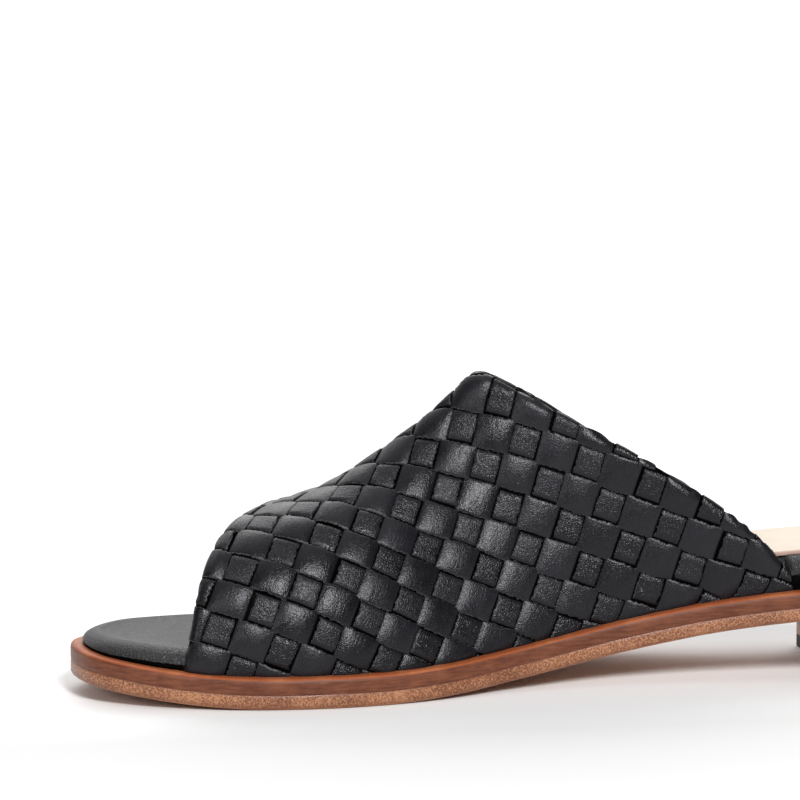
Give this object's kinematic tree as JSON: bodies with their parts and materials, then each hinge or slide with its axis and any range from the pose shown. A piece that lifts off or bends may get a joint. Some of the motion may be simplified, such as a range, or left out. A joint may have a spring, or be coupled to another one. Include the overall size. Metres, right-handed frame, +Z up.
{
  "type": "woven leather slide sandal",
  "caption": "Open-toe slide for the right foot: a hollow woven leather upper on a padded footbed, welt, leather outsole and low stacked heel.",
  "frame": {"origin": "middle of the bounding box on the floor", "axes": "+X from the toe to the heel, -Y the inner side of the foot, +Z up from the floor"},
  "size_m": [0.255, 0.0896, 0.0859],
  "materials": {
    "upper": "black strips with a satin surface, woven over and under",
    "footbed": "smooth black lining leather over padding",
    "heel_sock": "pale beige sock leather, matt",
    "welt": "dark red-brown stained edge, lightly burnished",
    "outsole": "tan-brown leather edge with fine grain",
    "heel_block": "stacked leather, stained tan-brown",
    "top_piece": "matt dark rubber"
  },
  "bodies": {
    "root": {"upper": "upper", "footbed": "footbed", "heel_sock": "heel_sock", "welt": "welt", "outsole": "outsole", "heel_block": "heel_block", "top_piece": "top_piece"}
  },
  "joints": []
}
